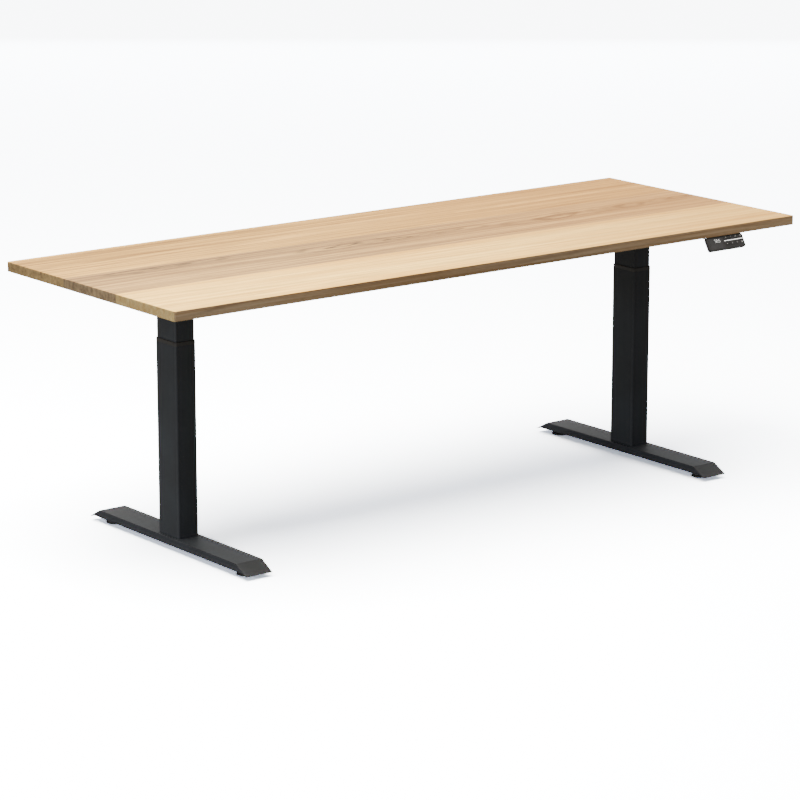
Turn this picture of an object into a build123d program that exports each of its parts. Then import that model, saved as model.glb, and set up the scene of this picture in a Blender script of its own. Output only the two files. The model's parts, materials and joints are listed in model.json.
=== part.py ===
from build123d import *
import os
from math import cos, pi, radians, sin, tan

# Height-adjustable desk: a solid wood top on two motor-driven, three-stage telescopic legs.
# Millimetres. Z is up and the floor is Z = 0. X runs along the desk and the user stands at -Y.
# The origin is on the floor under the middle of the whole outline, control panel included.

os.makedirs("parts", exist_ok=True)

# ---- Desk top and stored height
top_length = 2000
top_depth = 750
top_thickness = 25
top_corner = 5
top_edge = 1.5
work_height = 700

# ---- Control panel under the front edge
panel_width = 128
panel_slant = 38.5
panel_thickness = 12
panel_tilt = 31
panel_corner = 6
panel_x = 747.5
panel_setback = 4
panel_plate = 2.5
panel_wall = 1.2
key_width = 13.8
key_height = 9.6
key_corner = 3.5
key_pitch = 17.6
key_margin = 1.8
key_proud = 0.3
key_length = 3.3
row_gap = 3.1
strip_height = 1.6
window_margin = 4
window_gap = 6.5
window_thickness = 1
window_corner = 3
strip_gap = 1
strip_proud = 0.1
face_edge = 0.8
case_edge = 3
face_gap = 0.2
flange_inset = 10
flange_depth = 56
flange_corner = 5
gusset_reach = 30
gusset_drop = 22
gusset_plate = 6
panel_screw_spacing = 80
panel_screw_reach = 40
lead_hole = (-20, -8)
board_gap = 2
board_thickness = 1.6
board_edge = 1
dome_height = 0.3
dome_radius = 3

# ---- Legs
leg_spacing = 1502
leg_shift = -5
outer_width = 60
outer_depth = 90
tube_wall = 1.5
tube_corner = 5
inner_corner = 2
plate_corner = 1
stage_gap = 1
stage_down = 37.5
stage_up = 287.5
middle_show = 65
inner_show = 69
collar_height = 10
collar_skirt = 22
collar_chamfer = 1
slider_height = 40

# ---- Feet
foot_length = 700
foot_top_length = 611
foot_width = 78
foot_height = 35.5
foot_tip_height = 11.5
foot_wall_height = 16
foot_plate = 3
stiffener_length = 180
stiffener_plate = 4
glide_reach = 292
glide_radius = 24
glide_disc = 5.5
glide_drop = 10
sleeve_radius = 9
sleeve_height = 12
stud_grip = 8

# ---- Lifting screws
drive_radius = 6
hollow_radius = 10
hollow_bore = 6.7
nut_length = 25
nut_flange = 4
pedestal_gap = 2
pedestal_wall = 2
carrier_gap = 1.5
carrier_wall = 2.5
bearing_length = 20
head_radius = 15
head_height = 22
head_cup = 12
head_floor = 6
lock_ring_radius = 13
lock_ring = 4
base_plate = 6
carrier_plate = 6
stop_gap = 3
end_gap = 2

# ---- Motors
motor_clearance = 2.5
motor_length = 80
gearbox_clearance = 1.5
gearbox_length = 29
gearbox_flange = 6
motor_cap_radius = 15
motor_cap = 24
cap_gap = 1
journal_radius = 4
journal_length = 20

# ---- Frame under the top
bracket_plate = 4
bracket_gap = 1
bracket_length = 560
bracket_depth = 24
bracket_taper = 60
bracket_tip = 10
bracket_screw_spacing = 160
rail_depth = 50
rail_height = 20
rail_wall = 2
rail_reach = 130
rail_drop = 5
rail_bolt_spacing = 30

# ---- Control box
box_length = 260
box_depth = 110
box_height = 34
box_wall = 2.5
box_x = -300
box_corner = 6
box_edge = 1.5
box_ear = 14
ear_width = 24
ear_spacing = 180
ear_corner = 5
port_reach = 25
inlet_x = box_x + 70
inlet_width = 30
inlet_height = 24
inlet_length = 17
inlet_wall = 2.2
inlet_flange = 1.5
inlet_rim = 2
inlet_corner = 2
pin_width = 2
pin_height = 4
pin_length = 11
pin_seat = 3
pin_places = [(-7, -2), (7, -2), (0, 2)]

# ---- Fasteners
foot_bolt_radius = 4
foot_bolt_head = 5
hexagon_radius = 7
bolt_inset = 21
head_bolt_inset = 19
frame_bolt_radius = 3
frame_bolt_length = 12
screw_radius = 2.25
screw_head_radius = 4.5
screw_head = 2.5
screw_grip = 16
screw_end_gap = 1

# ---- Cords
motor_lead_radius = 2.5
panel_lead_radius = 1.8
lead_gap = 0.6
lead_end = 2
clip_width = 12
clip_length = 9
clip_roof = 2

# ---- Clearances
slide_clearance = 0.3
running_clearance = 0.05
press_gap = 0.05
hole_clearance = 0.5

# ---- Heights and places that follow from the sizes above
tilt_y = sin(radians(panel_tilt))
tilt_z = cos(radians(panel_tilt))
panel_front = panel_slant * tilt_y - panel_setback
top_y = panel_front / 2
leg_y = top_y + leg_shift
leg_x = leg_spacing / 2
underside = work_height - top_thickness
inner_top = underside - bracket_plate
middle_top = inner_top - inner_show
outer_top = middle_top - middle_show
slant_run = (foot_length - foot_top_length) / 2
slant_slope = (foot_height - foot_tip_height) / slant_run

outer_bore_width = outer_width - 2 * tube_wall
outer_bore_depth = outer_depth - 2 * tube_wall
middle_width = outer_bore_width - 2 * stage_gap
middle_depth = outer_bore_depth - 2 * stage_gap
middle_bore_width = middle_width - 2 * tube_wall
middle_bore_depth = middle_depth - 2 * tube_wall
inner_width = middle_bore_width - 2 * stage_gap
inner_depth = middle_bore_depth - 2 * stage_gap
inner_bore_width = inner_width - 2 * tube_wall
inner_bore_depth = inner_depth - 2 * tube_wall

base_top = foot_height + base_plate
middle_bottom = base_top + stage_down + stop_gap + end_gap
carrier_floor = middle_bottom + carrier_plate
inner_bottom = carrier_floor + stage_down + stop_gap
motor_radius = inner_bore_width / 2 - motor_clearance
gearbox_radius = inner_bore_width / 2 - gearbox_clearance
bracket_width = inner_width + 2 * (bracket_plate + bracket_gap)
motor_bottom = inner_top - base_plate - motor_cap - motor_length - gearbox_length - gearbox_flange - cap_gap
head_top = motor_bottom - stage_down - stop_gap
head_bottom = head_top - head_height
bearing_top = head_bottom - slide_clearance
bearing_bottom = bearing_top - bearing_length
ring_top = bearing_bottom - slide_clearance
ring_bottom = ring_top - lock_ring
nut_top = ring_bottom - stage_down - stop_gap
nut_bottom = nut_top - nut_length
hollow_bottom = base_top + stage_down + stop_gap
drive_bottom = head_top - stage_up - nut_length

pedestal_bore = hollow_radius + pedestal_gap
pedestal_radius = pedestal_bore + pedestal_wall
carrier_bore = pedestal_radius + carrier_gap
carrier_radius = carrier_bore + carrier_wall
lead_exit_z = inner_top - base_plate - motor_cap / 2
foot_bolt_spacing = (outer_bore_width - bolt_inset, outer_bore_depth - bolt_inset)
head_bolt_spacing = (inner_bore_width - head_bolt_inset, inner_bore_depth - head_bolt_inset)
rail_top = underside - rail_drop
rail_z = rail_top - rail_height / 2
rail_half = leg_x - bracket_width / 2


def level(x, y, z):
    """A horizontal plane at a point."""
    return Plane(origin=(x, y, z))


def facing_x(x, y, z):
    """A plane whose normal is +X, with its own x along Y and its own y along Z."""
    return Plane(origin=(x, y, z), x_dir=(0, 1, 0), z_dir=(1, 0, 0))


def save(piece, name):
    piece.part.label = name
    export_step(piece.part, f"parts/{name}.step")


def tube(x, y, bottom, top, outside, bore, corner):
    """Rectangular tube between two heights; outside and bore are (width, depth)."""
    with BuildSketch(level(x, y, bottom)) as section:
        RectangleRounded(*outside, corner)
        RectangleRounded(*bore, max(corner - (outside[0] - bore[0]) / 2, 1), mode=Mode.SUBTRACT)
    extrude(section.sketch, amount=top - bottom)


def round_tube(x, y, bottom, top, radius, bore):
    """Round tube between two heights."""
    with BuildSketch(level(x, y, bottom)) as section:
        Circle(radius)
        Circle(bore, mode=Mode.SUBTRACT)
    extrude(section.sketch, amount=top - bottom)


def grown(size, gap):
    """A (width, depth) pair made larger by a gap on every side."""
    return size[0] + 2 * gap, size[1] + 2 * gap


outer_size = (outer_width, outer_depth)
outer_bore = (outer_bore_width, outer_bore_depth)
middle_size = (middle_width, middle_depth)
middle_bore = (middle_bore_width, middle_bore_depth)
inner_size = (inner_width, inner_depth)
inner_bore = (inner_bore_width, inner_bore_depth)

# ---- The two legs; inward is the X direction towards the middle of the desk
for side, x, inward in (("left", -leg_x, 1), ("right", leg_x, -1)):

    # Foot: a bent plate with sloping ends, side walls, a welded stiffener and two threaded sleeves
    with BuildPart() as foot:
        half = foot_length / 2
        half_top = foot_top_length / 2
        inner_tip = half - foot_plate / slant_slope
        with BuildSketch(facing_x(x - foot_width / 2, leg_y, 0)):
            with BuildLine():
                Polyline(
                    (-half, foot_tip_height),
                    (-half_top, foot_height),
                    (half_top, foot_height),
                    (half, foot_tip_height),
                    (inner_tip, foot_tip_height),
                    (half_top, foot_height - foot_plate),
                    (-half_top, foot_height - foot_plate),
                    (-inner_tip, foot_tip_height),
                    close=True,
                )
            make_face()
        extrude(amount=foot_width)
        fillet(foot.edges().filter_by(Axis.X).group_by(Axis.Z)[-1], 2 * foot_plate)
        fillet(foot.edges().filter_by(Axis.Y).group_by(Axis.Z)[-1], foot_plate / 3)
        wall_top = foot_height - foot_plate
        wall_tip = half_top + (wall_top - foot_wall_height) / slant_slope
        for wall_x in (x - foot_width / 2, x + foot_width / 2 - foot_plate):
            with BuildSketch(facing_x(wall_x, leg_y, 0)):
                with BuildLine():
                    Polyline(
                        (-wall_tip, foot_wall_height),
                        (-half_top, wall_top),
                        (half_top, wall_top),
                        (wall_tip, foot_wall_height),
                        close=True,
                    )
                make_face()
            extrude(amount=foot_plate)
        with BuildSketch(level(x, leg_y, wall_top)):
            Rectangle(foot_width - 2 * foot_plate, stiffener_length)
        extrude(amount=-stiffener_plate)
        with BuildSketch(level(x, leg_y, foot_height)):
            with GridLocations(*foot_bolt_spacing, 2, 2):
                Circle(foot_bolt_radius + hole_clearance)
        extrude(amount=-foot_plate - stiffener_plate, mode=Mode.SUBTRACT)
        with BuildSketch(level(x, leg_y, sleeve_height)):
            with GridLocations(0, 2 * glide_reach, 1, 2):
                Circle(sleeve_radius)
        extrude(amount=wall_top - sleeve_height)
        with BuildSketch(level(x, leg_y, sleeve_height)):
            with GridLocations(0, 2 * glide_reach, 1, 2):
                Circle(foot_bolt_radius + running_clearance)
        extrude(amount=wall_top - sleeve_height, mode=Mode.SUBTRACT)
    save(foot, f"{side}_foot")

    # Bolts that hold the column to the foot from below
    with BuildPart() as foot_bolts:
        bolt_seat = foot_height - foot_plate - stiffener_plate
        with BuildSketch(level(x, leg_y, bolt_seat - foot_bolt_head)):
            with GridLocations(*foot_bolt_spacing, 2, 2):
                RegularPolygon(hexagon_radius, 6)
        extrude(amount=foot_bolt_head)
        with BuildSketch(level(x, leg_y, bolt_seat)):
            with GridLocations(*foot_bolt_spacing, 2, 2):
                Circle(foot_bolt_radius)
        extrude(amount=base_top - bolt_seat)
    save(foot_bolts, f"{side}_foot_bolts")

    # Levelling glides: a disc, a spanner hexagon and a threaded stud
    for end, y in (("front", leg_y - glide_reach), ("rear", leg_y + glide_reach)):
        with BuildPart() as glide:
            with BuildSketch(level(x, y, 0)):
                Circle(glide_radius)
            extrude(amount=glide_disc)
            fillet(glide.edges().group_by(Axis.Z)[-1], glide_disc / 2)
            fillet(glide.edges().group_by(Axis.Z)[0], 1)
            with BuildSketch(level(x, y, glide_disc)):
                RegularPolygon(hexagon_radius, 6)
            extrude(amount=sleeve_height - slide_clearance - glide_disc)
            with BuildSketch(level(x, y, sleeve_height - slide_clearance)):
                Circle(foot_bolt_radius)
            extrude(amount=glide_drop + stud_grip)
        save(glide, f"{side}_{end}_glide")

    # Outer tube with its base plate welded inside the bottom end
    with BuildPart() as outer_tube:
        tube(x, leg_y, foot_height, outer_top - collar_height, outer_size, outer_bore, tube_corner)
        with BuildSketch(level(x, leg_y, foot_height)):
            RectangleRounded(*outer_bore, tube_corner - tube_wall)
            with GridLocations(*foot_bolt_spacing, 2, 2):
                Circle(foot_bolt_radius + running_clearance, mode=Mode.SUBTRACT)
        extrude(amount=base_plate)
    save(outer_tube, f"{side}_outer_tube")

    # Plastic guide collar in the mouth of the outer tube
    with BuildPart() as outer_collar:
        collar_bottom = outer_top - collar_height
        guide = grown(middle_size, slide_clearance)
        with BuildSketch(level(x, leg_y, collar_bottom)):
            RectangleRounded(*outer_size, tube_corner)
        extrude(amount=collar_height)
        chamfer(outer_collar.edges().group_by(Axis.Z)[-1], collar_chamfer)
        with BuildSketch(level(x, leg_y, collar_bottom - collar_skirt)):
            RectangleRounded(*grown(outer_bore, -press_gap), tube_corner - tube_wall)
        extrude(amount=collar_skirt)
        with BuildSketch(level(x, leg_y, collar_bottom - collar_skirt)):
            RectangleRounded(*guide, tube_corner - tube_wall - stage_gap + slide_clearance)
        extrude(amount=collar_skirt + collar_height, mode=Mode.SUBTRACT)
    save(outer_collar, f"{side}_outer_collar")

    # Pedestal tube that carries the lower nut
    with BuildPart() as pedestal_tube:
        round_tube(x, leg_y, base_top, nut_top - nut_flange, pedestal_radius, pedestal_bore)
    save(pedestal_tube, f"{side}_pedestal_tube")

    # Lower nut, held against turning in the top of the pedestal
    with BuildPart() as lower_nut:
        nut_bore = hollow_radius + running_clearance
        round_tube(x, leg_y, nut_bottom, nut_top - nut_flange, pedestal_bore - press_gap, nut_bore)
        round_tube(x, leg_y, nut_top - nut_flange, nut_top, pedestal_radius, nut_bore)
    save(lower_nut, f"{side}_lower_nut")

    # Middle tube
    middle_corner = tube_corner - tube_wall - stage_gap
    with BuildPart() as middle_tube:
        tube(x, leg_y, middle_bottom, middle_top - collar_height, middle_size, middle_bore, middle_corner)
    save(middle_tube, f"{side}_middle_tube")

    # Plastic guide collar in the mouth of the middle tube
    with BuildPart() as middle_collar:
        collar_bottom = middle_top - collar_height
        guide = grown(inner_size, slide_clearance)
        with BuildSketch(level(x, leg_y, collar_bottom)):
            RectangleRounded(*middle_size, middle_corner)
        extrude(amount=collar_height)
        chamfer(middle_collar.edges().group_by(Axis.Z)[-1], collar_chamfer)
        with BuildSketch(level(x, leg_y, collar_bottom - collar_skirt)):
            RectangleRounded(*grown(middle_bore, -press_gap), plate_corner)
        extrude(amount=collar_skirt)
        with BuildSketch(level(x, leg_y, collar_bottom - collar_skirt)):
            RectangleRounded(*guide, plate_corner)
        extrude(amount=collar_skirt + collar_height, mode=Mode.SUBTRACT)
    save(middle_collar, f"{side}_middle_collar")

    # Slide band round the foot of the middle tube, running in the outer tube
    with BuildPart() as middle_slider:
        band = grown(outer_bore, -slide_clearance)
        seat = grown(middle_size, press_gap)
        band_corner = middle_corner + (band[0] - seat[0]) / 2
        tube(x, leg_y, middle_bottom, middle_bottom + slider_height, band, seat, band_corner)
    save(middle_slider, f"{side}_middle_slider")

    # Carrier tube on its plate in the foot of the middle tube, with the bearing in its top end
    with BuildPart() as carrier_tube:
        with BuildSketch(level(x, leg_y, middle_bottom)):
            RectangleRounded(*grown(middle_bore, -press_gap), plate_corner)
        extrude(amount=carrier_plate)
        with BuildSketch(level(x, leg_y, middle_bottom)):
            Circle(carrier_radius)
        extrude(amount=bearing_top - middle_bottom)
        with BuildSketch(level(x, leg_y, middle_bottom)):
            Circle(carrier_bore)
        extrude(amount=bearing_top - middle_bottom, mode=Mode.SUBTRACT)
        round_tube(
            x, leg_y, bearing_bottom, bearing_top, carrier_bore - press_gap, hollow_radius + running_clearance
        )
    save(carrier_tube, f"{side}_carrier_tube")

    # Hollow screw with its head, lock ring and the upper nut in the head's cup
    with BuildPart() as hollow_screw:
        round_tube(x, leg_y, hollow_bottom, head_bottom, hollow_radius, hollow_bore)
        round_tube(x, leg_y, ring_bottom, ring_top, lock_ring_radius, hollow_bore)
        round_tube(x, leg_y, head_bottom, head_top, head_radius, hollow_bore)
        cup_floor = head_bottom + head_floor
        with BuildSketch(level(x, leg_y, cup_floor)):
            Circle(head_cup)
        extrude(amount=head_top - cup_floor, mode=Mode.SUBTRACT)
        upper_nut_bore = drive_radius + running_clearance
        round_tube(x, leg_y, cup_floor + press_gap, head_top, head_cup - press_gap, upper_nut_bore)
    save(hollow_screw, f"{side}_hollow_screw")

    # Solid drive screw, its journal in the gearbox
    with BuildPart() as drive_screw:
        with BuildSketch(level(x, leg_y, drive_bottom)):
            Circle(drive_radius)
        extrude(amount=motor_bottom - slide_clearance - drive_bottom)
        with BuildSketch(level(x, leg_y, motor_bottom - slide_clearance)):
            Circle(journal_radius)
        extrude(amount=journal_length)
    save(drive_screw, f"{side}_drive_screw")

    # Motor and gearbox, filling the top of the inner tube
    with BuildPart() as motor:
        flange_top = motor_bottom + gearbox_flange
        gearbox_top = flange_top + gearbox_length
        can_top = gearbox_top + motor_length
        with BuildSketch(level(x, leg_y, motor_bottom)):
            RectangleRounded(*grown(inner_bore, -press_gap), plate_corner)
        extrude(amount=gearbox_flange)
        with BuildSketch(level(x, leg_y, flange_top)):
            Circle(gearbox_radius)
        extrude(amount=gearbox_length)
        with BuildSketch(level(x, leg_y, gearbox_top)):
            Circle(motor_radius)
        extrude(amount=motor_length)
        with BuildSketch(level(x, leg_y, can_top)):
            Circle(motor_cap_radius)
        extrude(amount=motor_cap)
        with BuildSketch(level(x, leg_y, motor_bottom)):
            Circle(journal_radius + running_clearance)
        extrude(amount=journal_length + 1, mode=Mode.SUBTRACT)
    save(motor, f"{side}_motor")

    # Inner tube with its head plate and the hole for the motor lead
    with BuildPart() as inner_tube:
        tube(x, leg_y, inner_bottom, inner_top, inner_size, inner_bore, inner_corner)
        with BuildSketch(level(x, leg_y, inner_top)):
            RectangleRounded(*inner_bore, plate_corner)
            with GridLocations(*head_bolt_spacing, 2, 2):
                Circle(frame_bolt_radius + running_clearance, mode=Mode.SUBTRACT)
        extrude(amount=-base_plate)
        with BuildSketch(facing_x(x, leg_y, lead_exit_z)):
            Circle(motor_lead_radius + hole_clearance)
        extrude(amount=inward * inner_width, mode=Mode.SUBTRACT)
    save(inner_tube, f"{side}_inner_tube")

    # Side bracket: a folded channel along the depth of the top, tapered at both ends
    with BuildPart() as side_bracket:
        half = bracket_length / 2
        with BuildSketch(facing_x(x - bracket_width / 2, leg_y, underside)):
            with BuildLine():
                Polyline(
                    (-half, 0),
                    (half, 0),
                    (half, -bracket_tip),
                    (half - bracket_taper, -bracket_depth),
                    (bracket_taper - half, -bracket_depth),
                    (-half, -bracket_tip),
                    close=True,
                )
            make_face()
        extrude(amount=bracket_width)
        with BuildSketch(facing_x(x - bracket_width / 2 + bracket_plate, leg_y, underside - bracket_plate)):
            Rectangle(bracket_length, bracket_depth, align=(Align.CENTER, Align.MAX))
        extrude(amount=bracket_width - 2 * bracket_plate, mode=Mode.SUBTRACT)
        with Locations(level(x, leg_y, underside)):
            with GridLocations(*head_bolt_spacing, 2, 2):
                CounterSinkHole(
                    radius=frame_bolt_radius + hole_clearance,
                    counter_sink_radius=2 * frame_bolt_radius + hole_clearance,
                    depth=bracket_plate,
                )
            with GridLocations(0, bracket_screw_spacing, 1, 4):
                Hole(screw_radius + hole_clearance, depth=bracket_plate)
        flange_inside = x + inward * (bracket_width / 2 - bracket_plate)
        for rail_y in (leg_y - rail_reach, leg_y + rail_reach):
            flange = Plane(origin=(flange_inside, rail_y, rail_z), x_dir=(0, 1, 0), z_dir=(-inward, 0, 0))
            with Locations(flange):
                with GridLocations(rail_bolt_spacing, 0, 2, 1):
                    CounterSinkHole(
                        radius=frame_bolt_radius + hole_clearance,
                        counter_sink_radius=2 * frame_bolt_radius + hole_clearance,
                        depth=bracket_plate,
                    )
        with BuildSketch(facing_x(flange_inside, leg_y, lead_exit_z)):
            Circle(motor_lead_radius + 2 * hole_clearance)
        extrude(amount=inward * bracket_plate, mode=Mode.SUBTRACT)
    save(side_bracket, f"{side}_side_bracket")

# Slide bands round the feet of both inner tubes
with BuildPart() as inner_sliders:
    for x in (-leg_x, leg_x):
        band = grown(middle_bore, -slide_clearance)
        seat = grown(inner_size, press_gap)
        tube(x, leg_y, inner_bottom, inner_bottom + slider_height, band, seat, inner_corner)
save(inner_sliders, "inner_sliders")

# Front and rear rails: rectangular tubes closed by threaded end plates
for name, y in (("front_rail", leg_y - rail_reach), ("rear_rail", leg_y + rail_reach)):
    with BuildPart() as rail:
        with BuildSketch(facing_x(-rail_half, y, rail_z)):
            RectangleRounded(rail_depth, rail_height, 2 * rail_wall)
        extrude(amount=2 * rail_half)
        with BuildSketch(facing_x(-rail_half + bracket_plate, y, rail_z)):
            RectangleRounded(rail_depth - 2 * rail_wall, rail_height - 2 * rail_wall, rail_wall)
        extrude(amount=2 * (rail_half - bracket_plate), mode=Mode.SUBTRACT)
        with BuildSketch(facing_x(-rail_half, y, rail_z)):
            with GridLocations(rail_bolt_spacing, 0, 2, 1):
                Circle(frame_bolt_radius + running_clearance)
        extrude(amount=2 * rail_half, mode=Mode.SUBTRACT)
    save(rail, name)


def countersunk_bolts(*seats):
    """Countersunk bolts: flat heads in the given planes, shanks pointing against the normals."""
    with Locations(*seats):
        Cone(
            bottom_radius=frame_bolt_radius,
            top_radius=2 * frame_bolt_radius,
            height=frame_bolt_radius,
            align=(Align.CENTER, Align.CENTER, Align.MAX),
        )
        Cylinder(
            frame_bolt_radius, frame_bolt_length, align=(Align.CENTER, Align.CENTER, Align.MAX)
        )


# Countersunk bolts: four through each bracket into a leg, two into each end of a rail
with BuildPart() as frame_bolts:
    seats = []
    for x, inward in ((-leg_x, 1), (leg_x, -1)):
        for dx in (-head_bolt_spacing[0] / 2, head_bolt_spacing[0] / 2):
            for dy in (-head_bolt_spacing[1] / 2, head_bolt_spacing[1] / 2):
                seats.append(Plane(origin=(x + dx, leg_y + dy, underside), z_dir=(0, 0, 1)))
        flange_inside = x + inward * (bracket_width / 2 - bracket_plate)
        for rail_y in (leg_y - rail_reach, leg_y + rail_reach):
            for dy in (-rail_bolt_spacing / 2, rail_bolt_spacing / 2):
                seat = (flange_inside, rail_y + dy, rail_z)
                seats.append(Plane(origin=seat, z_dir=(-inward, 0, 0)))
    countersunk_bolts(*seats)
save(frame_bolts, "frame_bolts")

# ---- Desk top, with pilot holes for every screw that enters it from below
panel_top_y = top_y - top_depth / 2 + panel_setback
panel_screw_y = panel_top_y + panel_screw_reach
panel_screw_places = [(panel_x + panel_screw_spacing * side, panel_screw_y) for side in (-0.5, 0.5)]
ear_reach = (box_depth + box_ear) / 2
screw_places = [
    (x, leg_y + bracket_screw_spacing * step) for x in (-leg_x, leg_x) for step in (-1.5, -0.5, 0.5, 1.5)
]
screw_places += panel_screw_places
screw_places += [
    (box_x + ear_spacing * side, leg_y + ear_reach * end) for side in (-0.5, 0.5) for end in (-1, 1)
]

with BuildPart() as tabletop:
    with BuildSketch(level(0, top_y, underside)):
        RectangleRounded(top_length, top_depth, top_corner)
    extrude(amount=top_thickness)
    rims = tabletop.edges().group_by(Axis.Z)
    fillet(rims[0] + rims[-1], top_edge)
    with BuildSketch(Plane.XY.offset(underside)):
        with Locations(*screw_places):
            Circle(screw_radius)
    extrude(amount=screw_grip, mode=Mode.SUBTRACT)
save(tabletop, "tabletop")

# Screws through brackets, control box ears and panel flange into the desk top
with BuildPart() as tabletop_screws:
    with BuildSketch(Plane.XY.offset(inner_top - screw_head)):
        with Locations(*screw_places):
            Circle(screw_head_radius)
    extrude(amount=screw_head)
    fillet(tabletop_screws.edges().group_by(Axis.Z)[0], screw_head / 3)
    with BuildSketch(Plane.XY.offset(inner_top)):
        with Locations(*screw_places):
            Circle(screw_radius)
    extrude(amount=bracket_plate + screw_grip - screw_end_gap)
save(tabletop_screws, "tabletop_screws")

# ---- Control box: a tray hung from a lid with four ears
box_floor = inner_top - box_height + bracket_plate
box_inside = (box_length - 2 * box_wall, box_depth - 2 * box_wall)
port_z = (box_floor + inner_top) / 2
motor_port_y = leg_y + port_reach
panel_port_y = leg_y - port_reach
box_rear = leg_y + box_depth / 2

with BuildPart() as control_box_case:
    with BuildSketch(level(box_x, leg_y, box_floor)):
        RectangleRounded(box_length, box_depth, box_corner)
    extrude(amount=inner_top - box_floor)
    fillet(control_box_case.edges().group_by(Axis.Z)[0], box_edge)
    with BuildSketch(level(box_x, leg_y, box_floor + box_wall)):
        RectangleRounded(*box_inside, box_corner - box_wall)
    extrude(amount=inner_top - box_floor - box_wall, mode=Mode.SUBTRACT)
    with BuildSketch(facing_x(box_x, 0, port_z)):
        with Locations((motor_port_y, 0)):
            Circle(motor_lead_radius + hole_clearance)
        with Locations((panel_port_y, 0)):
            Circle(panel_lead_radius + hole_clearance)
    extrude(amount=box_length, mode=Mode.SUBTRACT)
    with BuildSketch(facing_x(box_x, leg_y, port_z)):
        Circle(motor_lead_radius + hole_clearance)
    extrude(amount=-box_length, mode=Mode.SUBTRACT)
    with BuildSketch(Plane(origin=(inlet_x, box_rear, port_z), x_dir=(-1, 0, 0), z_dir=(0, 1, 0))):
        Rectangle(inlet_width + 2 * press_gap, inlet_height + 2 * press_gap)
    extrude(amount=-2 * box_wall, mode=Mode.SUBTRACT)
save(control_box_case, "control_box_case")

with BuildPart() as control_box_lid:
    with BuildSketch(level(box_x, leg_y, inner_top)):
        RectangleRounded(box_length, box_depth, box_corner)
        with GridLocations(ear_spacing, 0, 2, 1):
            RectangleRounded(ear_width, box_depth + 2 * box_ear, ear_corner)
        with GridLocations(ear_spacing, 2 * ear_reach, 2, 2):
            Circle(screw_radius + hole_clearance, mode=Mode.SUBTRACT)
    extrude(amount=bracket_plate)
save(control_box_lid, "control_box_lid")

# Mains inlet: a flanged socket with three flat pins
with BuildPart() as power_inlet:
    rear = Plane(origin=(inlet_x, box_rear, port_z), x_dir=(-1, 0, 0), z_dir=(0, 1, 0))
    with BuildSketch(rear):
        RectangleRounded(*grown((inlet_width, inlet_height), inlet_rim), inlet_corner)
    extrude(amount=inlet_flange)
    with BuildSketch(rear):
        Rectangle(inlet_width, inlet_height)
    extrude(amount=-inlet_length)
    with BuildSketch(rear.offset(inlet_flange)):
        RectangleRounded(*grown((inlet_width, inlet_height), -inlet_wall), inlet_corner)
    extrude(amount=inlet_flange - inlet_length, mode=Mode.SUBTRACT)
    with BuildSketch(rear.offset(pin_seat - inlet_length)):
        with Locations(*pin_places):
            Rectangle(pin_width, pin_height)
    extrude(amount=pin_length)
save(power_inlet, "power_inlet")

# ---- Control panel: its face plane slopes forward and down from the underside of the top
face = Plane(
    origin=(panel_x, panel_top_y, underside - face_gap), x_dir=(1, 0, 0), z_dir=(0, -tilt_z, tilt_y)
)
key_size = (key_width, key_height)
upper_row = -key_margin - key_height / 2
strip_row = upper_row - key_height / 2 - row_gap - strip_height / 2
lower_row = strip_row - strip_height / 2 - row_gap - key_height / 2
last_key_x = panel_width / 2 - key_margin - key_width / 2
first_key_x = last_key_x - 3 * key_pitch
key_columns = [first_key_x + key_pitch * column for column in range(4)]
key_places = [(x, row) for row in (upper_row, lower_row) for x in key_columns]
keys_left = first_key_x - key_width / 2
strip_left = keys_left - strip_gap
strip_right = panel_width / 2 - face_gap
strip_size = (strip_right - strip_left, strip_height)
strip_place = ((strip_left + strip_right) / 2, strip_row)
window_left = window_margin - panel_width / 2
window_right = keys_left - window_gap
window_size = (window_right - window_left, panel_slant - 2 * window_margin)
middle_of_face = (0, -panel_slant / 2)
window_place = ((window_left + window_right) / 2, -panel_slant / 2)
board_depth = panel_plate + board_gap
board_inset = panel_wall + board_edge
panel_size = (panel_width, panel_slant)

with BuildPart() as handset_face:
    with BuildSketch(face):
        with Locations(middle_of_face):
            RectangleRounded(*panel_size, panel_corner)
    extrude(amount=-panel_plate)
    fillet(handset_face.faces().sort_by(Axis(face.origin, face.z_dir))[-1].edges(), face_edge)
    with BuildSketch(face):
        with Locations(*key_places):
            RectangleRounded(*grown(key_size, slide_clearance), key_corner + slide_clearance)
        with Locations(strip_place):
            Rectangle(*strip_size)
    extrude(amount=-panel_plate, mode=Mode.SUBTRACT)
    with BuildSketch(face):
        with Locations(window_place):
            RectangleRounded(*window_size, window_corner)
    extrude(amount=-window_thickness, mode=Mode.SUBTRACT)
save(handset_face, "handset_face")

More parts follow.
